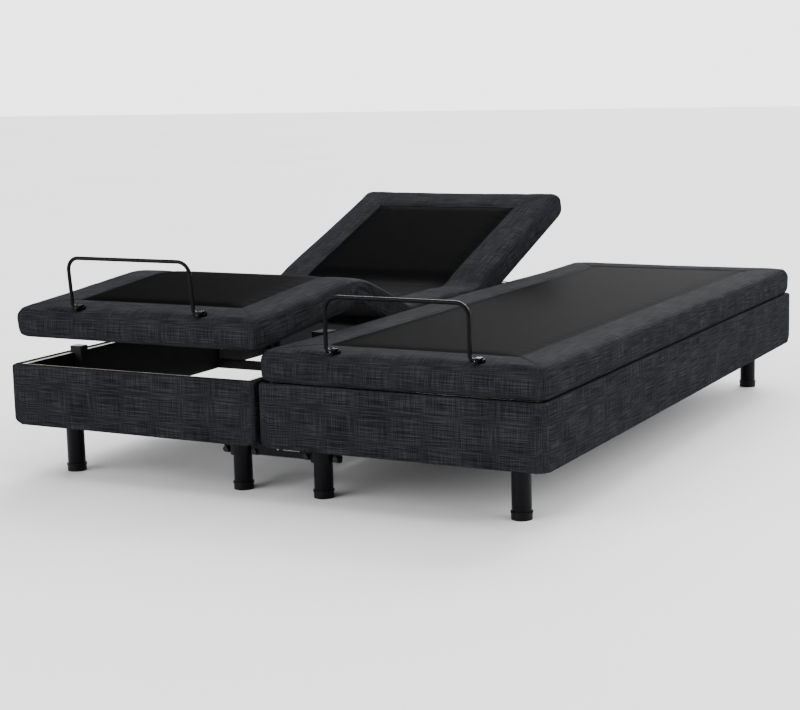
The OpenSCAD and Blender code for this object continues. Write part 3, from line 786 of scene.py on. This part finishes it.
def box_section(low_z, high_z, low_r, top_r, belly):
    """The skin's section, from its lower fold up to its upper fold: outward place and height."""
    fold = 0.018
    line = [(-fold, low_z), ((-fold - low_r) / 2, low_z)]
    line += [(-low_r + low_r * math.sin(a), low_z + low_r - low_r * math.cos(a))
             for a in np.radians([0, 22, 45, 68])]
    rise = high_z - top_r - low_z - low_r
    line += [(belly * math.sin(math.pi * t), low_z + low_r + t * rise) for t in np.linspace(0, 1, 9)]
    line += [(-top_r + top_r * math.cos(a), high_z - top_r + top_r * math.sin(a))
             for a in np.radians([30, 60, 90])]
    line.append((-fold, high_z))
    return line


def box_cover(side, settings):
    """A thin closed skin swept round the box, tucked over its top and bottom edges."""
    low, high = box(side + "_rail_cover")
    mid, half = (low + high) / 2, (high - low) / 2
    radius, thick = settings.corner_radius, 0.0009
    stations = box_outline(half[0], half[1], radius, 0.016)
    places = [mid[:2] + centre + way * radius for centre, way, _ in stations]
    lengths = [0.0]
    for a, b in zip(places, places[1:] + places[:1]):
        lengths.append(lengths[-1] + np.linalg.norm(b - a))
    verts, across = [], []
    for (centre, way, away), place in zip(stations, places):
        corner = float(1 - smoothstep(away / 0.018))
        crown = float(1 - smoothstep(away / 0.012))
        line = box_section(low[2], high[2], 0.0032 + 0.016 * corner, 0.003 + 0.005 * crown,
                           0.0012 * (1 - corner))
        inside = []
        for k, (o, z) in enumerate(line):
            a, b = line[max(0, k - 1)], line[min(len(line) - 1, k + 1)]
            d = np.array([b[0] - a[0], b[1] - a[1]])
            d /= np.linalg.norm(d) + 1e-9
            inside.append((o - d[1] * thick, z + d[0] * thick))
        loop = line + inside[::-1]
        seam = 0.0009 * math.exp(-((abs(way[0]) - abs(way[1])) / 0.1) ** 2)
        for k, (o, z) in enumerate(loop):
            skin = 5 < k < len(line) - 3
            wave = 0.0007 * noise.noise(Vector((place[0] * 7, place[1] * 7, z * 16))) if skin else 0
            p = mid[:2] + centre + way * (radius + o + wave - seam)
            verts.append((p[0], p[1], z))
        if not across:
            across = [0.0]
            for a, b in zip(loop, loop[1:] + loop[:1]):
                across.append(across[-1] + math.hypot(a[0] - b[0], a[1] - b[1]))
    count, rows = len(stations), len(across) - 1
    faces, uvs = [], []
    for k in range(count):
        n = (k + 1) % count
        for r in range(rows):
            s = (r + 1) % rows
            faces.append([k * rows + r, n * rows + r, n * rows + s, k * rows + s])
            uvs.extend([(lengths[k], across[r]), (lengths[k + 1], across[r]),
                        (lengths[k + 1], across[r + 1]), (lengths[k], across[r + 1])])
    return mesh_object(side + "_box_cover", verts, faces, [material("charcoal_linen")], uvs)


# ---- Stitches and staples ----

def row_tree(name, look):
    """A node tree that lays small rounded bars along an edge path, standing on +Z."""
    tree = bpy.data.node_groups.new(name, "GeometryNodeTree")
    face = tree.interface
    face.new_socket("Path", in_out="INPUT", socket_type="NodeSocketGeometry")
    for label, default in (("Pitch", 0.0065), ("Length", 0.0042), ("Thickness", 0.0007)):
        made = face.new_socket(label, in_out="INPUT", socket_type="NodeSocketFloat")
        made.default_value = default
    face.new_socket("Row", in_out="OUTPUT", socket_type="NodeSocketGeometry")
    nodes = tree.nodes
    start, end = nodes.new("NodeGroupInput"), nodes.new("NodeGroupOutput")
    curve = nodes.new("GeometryNodeMeshToCurve")
    spaced = nodes.new("GeometryNodeResampleCurve")
    spaced.mode = "LENGTH"
    bar = nodes.new("GeometryNodeMeshCylinder")
    bar.inputs["Vertices"].default_value = 6
    shaped = nodes.new("GeometryNodeTransform")
    half = add(tree, "ShaderNodeMath", operation="MULTIPLY")
    half.inputs[1].default_value = 0.5
    align = nodes.new("FunctionNodeAlignRotationToVector")
    align.axis = "Z"
    tangent = nodes.new("GeometryNodeInputTangent")
    on = nodes.new("GeometryNodeInstanceOnPoints")
    real = nodes.new("GeometryNodeRealizeInstances")
    paint = nodes.new("GeometryNodeSetMaterial")
    paint.inputs["Material"].default_value = look
    link(tree, start.outputs["Path"], curve.inputs[0])
    link(tree, curve.outputs[0], spaced.inputs["Curve"])
    link(tree, start.outputs["Pitch"], spaced.inputs["Length"])
    link(tree, start.outputs["Thickness"], half.inputs[0])
    link(tree, half.outputs[0], bar.inputs["Radius"])
    link(tree, start.outputs["Length"], bar.inputs["Depth"])
    link(tree, bar.outputs["Mesh"], shaped.inputs["Geometry"])
    link(tree, tangent.outputs[0], align.inputs["Vector"])
    link(tree, spaced.outputs[0], on.inputs["Points"])
    link(tree, shaped.outputs[0], on.inputs["Instance"])
    link(tree, align.outputs["Rotation"], on.inputs["Rotation"])
    link(tree, on.outputs[0], real.inputs[0])
    link(tree, real.outputs[0], paint.inputs["Geometry"])
    link(tree, paint.outputs[0], end.inputs["Row"])
    return tree


def row_object(name, lines, tree, **values):
    """The plain mesh of a row tree along some lines of points."""
    verts, edges = [], []
    for line in lines:
        start = len(verts)
        verts.extend(tuple(p) for p in line)
        edges.extend((start + k, start + k + 1) for k in range(len(line) - 1))
    mesh = bpy.data.meshes.new(name)
    mesh.from_pydata(verts, edges, [])
    made = bpy.data.objects.new(name, mesh)
    bpy.context.scene.collection.objects.link(made)
    row = made.modifiers.new("Row", "NODES")
    row.node_group = tree
    sockets = {i.name: i.identifier for i in tree.interface.items_tree if i.in_out == "INPUT"}
    for key, value in values.items():
        row[sockets[key]] = value
    return applied(made)


def seam_lines(side, low, high, settings, inset):
    """Lines beside the panel's seam between two y places, laid on the stored cover."""
    x = DECK_HALF - settings.side_border + inset
    first, last = DECK_FOOT + settings.foot_border - inset, DECK_END - settings.head_border + inset
    z = DECK_TOP + 0.0022
    start, end = max(low, first), min(high, last)
    lines = [[(sign * x, y, z) for y in evenly(start, end, 0.01)] for sign in (-1, 1)]
    for y in (first, last):
        if low < y < high:
            lines.append([(a, y, z) for a in evenly(-x, x, 0.01)])
    lines += [line for line in corner_lines(settings) if low < line[0][1] < high]
    shift = np.array([centre_x(side), 0, 0])
    return [folded(np.array(line) + shift, side) for line in lines]


def corner_lines(settings):
    """Two close lines beside each corner seam: up the side, then along the mitre."""
    made = []
    for sx in (-1, 1):
        for y, sy, border in ((DECK_FOOT, -1, settings.foot_border), (DECK_END, 1, settings.head_border)):
            for off in ((0.0045, 0), (0, 0.0045)):
                line = []
                for z in evenly(DECK_BOTTOM + 0.006, DECK_TOP - 0.006, 0.006):
                    line.append((sx * (DECK_HALF - off[0]), y - sy * off[1], z))
                for t in evenly(0.06, 0.93, 0.04):
                    line.append((sx * (DECK_HALF - t * settings.side_border - off[0]),
                                 y - sy * (t * border + off[1]), DECK_TOP))
                made.append(line)
    return made


class BEDBASE_OT_stitches(bpy.types.Operator):
    """Stitch the linen beside the seam of the non-slip panel"""

    bl_idname = "bedbase.stitches"
    bl_label = "Stitches"

    def execute(self, context):
        settings = context.scene.bed_base
        tree = row_tree("stitch_row", material("thread"))
        for side in SIDES:
            for name, low, high, first, second, middle, reach, _ in PIECES:
                lines = seam_lines(side, low, high, settings, 0.0055)
                lines = seated(lines, bpy.data.objects[f"{side}_{name}"])
                made = row_object(f"{side}_{name}_stitches", lines, tree,
                                  Pitch=settings.stitch_pitch, Length=0.0042, Thickness=0.0009)
                folded_point(middle - reach, side)
                folded_point(middle + reach, side)
                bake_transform(made)
        return {"FINISHED"}


def seated(lines, cover):
    """Lines dropped on a cover's outer face along its nearest normal."""
    made = []
    for line in lines:
        row = []
        for p in line:
            hit, place, normal, _ = cover.closest_point_on_mesh(Vector(p))
            if not hit:
                raise RuntimeError(f"no cover under a stitch at {p}")
            row.append(place + normal * 0.0003)
        made.append(row)
    return made


class BEDBASE_OT_staples(bpy.types.Operator):
    """Staple the cover's fold to the underside of each box"""

    bl_idname = "bedbase.staples"
    bl_label = "Staples"

    def execute(self, context):
        settings = context.scene.bed_base
        tree = row_tree("staple_row", material("zinc_plate"))
        for side in SIDES:
            low, high = box(side + "_rail_cover")
            inset, z = 0.012, low[2] - 0.0003
            xs = evenly(low[0] + 0.05, high[0] - 0.05, 0.05)
            ys = evenly(low[1] + 0.05, high[1] - 0.05, 0.05)
            lines = [[(x, y, z) for x in xs] for y in (low[1] + inset, high[1] - inset)]
            lines += [[(x, y, z) for y in ys] for x in (low[0] + inset, high[0] - inset)]
            made = row_object(side + "_staples", lines, tree, Pitch=settings.staple_pitch,
                              Length=0.011, Thickness=0.0009)
            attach(made, "root")
        return {"FINISHED"}


# ---- Finishes of the CAD nodes ----

class BEDBASE_OT_finishes(bpy.types.Operator):
    """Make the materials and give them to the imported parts"""

    bl_idname = "bedbase.finishes"
    bl_label = "Finishes"

    def execute(self, context):
        settings = context.scene.bed_base
        linen_material(settings)
        panel_material(settings)
        looks = {
            "linen": material("charcoal_linen"),
            # wood_core: pale wood only on faces that point up; its upright faces are painted near-black as painted
            # shade for the inside of the box.
            "wood_core": wood_material("box_wood", (0.62, 0.58, 0.5), (0.84, 0.81, 0.75),
                                       (30, 30, 160), faces_dark=(0.0012, 0.0012, 0.0013)),
            "plywood": wood_material("dark_board", (0.0015, 0.0014, 0.0013),
                                     (0.004, 0.0037, 0.0033), (160, 12, 160)),
            "frame_black": painted_material("frame_paint", (0.002, 0.002, 0.0022), 0.55),
            "black_metal": painted_material("leg_paint", (0.0012, 0.0012, 0.0024), 0.32,
                                            level=0.09),
            "retainer_black": painted_material("bar_paint", (0.0008, 0.0008, 0.001), 0.2,
                                               level=0.07),
            "rod_steel": painted_material("ground_steel", (0.6, 0.6, 0.62), 0.25,
                                          metallic=1.0, grain=300),
            "zinc": painted_material("zinc_plate", (0.62, 0.62, 0.64), 0.35,
                                     metallic=1.0, grain=200),
            "bolt_black": painted_material("bolt_oxide", (0.015, 0.015, 0.016), 0.45, metallic=0.6),
            "drive_plastic": painted_material("drive_case", (0.003, 0.003, 0.0033), 0.55,
                                              grain=400),
            "glide_plastic": painted_material("glide_plastic", (0.0018, 0.0018, 0.0022), 0.45,
                                              grain=300),
            "rubber": wood_material("moulded_rubber", (0.3, 0.3, 0.3), (0.4, 0.4, 0.4),
                                    (250, 250, 250), faces_dark=(0.002, 0.002, 0.002)),
        }
        painted_material("thread", (0.012, 0.0125, 0.014), 0.8)
        for node, obj in frame["nodes"].items():
            obj.data.materials.clear()
            obj.data.materials.append(looks[SLOT_OF[node]])
        return {"FINISHED"}


# ---- Stage ----

class BEDBASE_OT_stage(bpy.types.Operator):
    """Make the floor, the soft lights and the camera"""

    bl_idname = "bedbase.stage"
    bl_label = "Stage"

    def execute(self, context):
        scene = context.scene
        made, tree = new_material("pale_floor")
        shader = surface(tree, Roughness=0.8, Specular_IOR_Level=0.1)
        place = tree.nodes.new("ShaderNodeTexCoord").outputs["Object"]
        tone = ramp(tree, stretched_noise(tree, place, (0.4, 0.4, 0.4)), [
            (0.3, (0.86, 0.86, 0.86)), (0.7, (0.9, 0.9, 0.9))])
        link(tree, tone, shader.inputs["Base Color"])
        reach = 40.0
        corners = [(-reach, -reach, 0), (reach, -reach, 0), (reach, reach, 0), (-reach, reach, 0)]
        floor = mesh_object("floor", corners, [[0, 1, 2, 3]], [made], smooth=False)
        world = bpy.data.worlds.new("studio")
        world.use_nodes = True
        sky = world.node_tree
        soft = sky.nodes["Background"]
        soft.inputs["Color"].default_value, soft.inputs["Strength"].default_value = (1, 1, 1, 1), 0.42
        seen = add(sky, "ShaderNodeBackground", Strength=3.4)
        seen.inputs["Color"].default_value = (1, 1, 1, 1)
        mix = sky.nodes.new("ShaderNodeMixShader")
        link(sky, sky.nodes.new("ShaderNodeLightPath").outputs["Is Camera Ray"], mix.inputs[0])
        link(sky, soft.outputs[0], mix.inputs[1])
        link(sky, seen.outputs[0], mix.inputs[2])
        link(sky, mix.outputs[0], sky.nodes["World Output"].inputs["Surface"])
        scene.world = world
        lamp("side", (4.2, 0.2, 3.0), 2.9, 50)
        lamp("front", (-3.0, -5.0, 1.9), 3.9, 60)
        lamp("top", (0.3, 1.2, 5.0), 1.6, 70)
        lamp("back", (-0.8, 5.5, 3.6), 5.6, 50)
        camera_at((2.2283, -4.4111, 1.0308), yaw=0.493, pitch=0.164, roll=-0.024, lens=75.84)
        return {"FINISHED"}


def lamp(name, place, power, spread):
    """A soft far light that shines from a place towards the bed."""
    light = bpy.data.lights.new(name, "SUN")
    light.energy, light.angle = power, math.radians(spread)
    made = bpy.data.objects.new(name, light)
    made.location = place
    made.rotation_euler = (Vector((0, 0, 0.3)) - Vector(place)).to_track_quat("-Z", "Y").to_euler()
    bpy.context.scene.collection.objects.link(made)


def camera_at(place, yaw, pitch, roll, lens):
    """The camera at a place. yaw turns it to the left of +Y, pitch tips it down."""
    data = bpy.data.cameras.new("view")
    data.lens, data.sensor_width = lens, 36.0
    data.shift_x, data.shift_y = 0.0, 0.0
    made = bpy.data.objects.new("view", data)
    ahead = Vector((-math.sin(yaw) * math.cos(pitch), math.cos(yaw) * math.cos(pitch), -math.sin(pitch)))
    right = Vector((math.cos(yaw), math.sin(yaw), 0))
    up = right.cross(ahead)
    right, up = right * math.cos(roll) + up * math.sin(roll), up * math.cos(roll) - right * math.sin(roll)
    made.matrix_world = Matrix((right, up, -ahead)).transposed().to_4x4()
    made.location = place
    bpy.context.scene.collection.objects.link(made)
    bpy.context.scene.camera = made


# ---- Panel and registration ----

OPERATORS = (
    BEDBASE_OT_finishes, BEDBASE_OT_stage, BEDBASE_OT_deck_covers, BEDBASE_OT_box_covers,
    BEDBASE_OT_stitches, BEDBASE_OT_staples,
)


class BEDBASE_PT_panel(bpy.types.Panel):
    """Lists the bed base's operators and settings"""

    bl_label = "Bed Base"
    bl_idname = "BEDBASE_PT_panel"
    bl_space_type = "VIEW_3D"
    bl_region_type = "UI"
    bl_category = "Bed Base"

    def draw(self, context):
        for key in BedBaseSettings.__annotations__:
            self.layout.prop(context.scene.bed_base, key)
        for operator in OPERATORS:
            self.layout.operator(operator.bl_idname)


def register():
    bpy.utils.register_class(BedBaseSettings)
    bpy.types.Scene.bed_base = PointerProperty(type=BedBaseSettings)
    for made in (*OPERATORS, BEDBASE_PT_panel):
        bpy.utils.register_class(made)


def unregister():
    for made in reversed((*OPERATORS, BEDBASE_PT_panel)):
        bpy.utils.unregister_class(made)
    del bpy.types.Scene.bed_base
    bpy.utils.unregister_class(BedBaseSettings)


def main():
    """Runs every operator in order."""
    register()
    for operator in OPERATORS:
        group, name = operator.bl_idname.split(".")
        getattr(getattr(bpy.ops, group), name)()


if __name__ == "__main__":
    main()
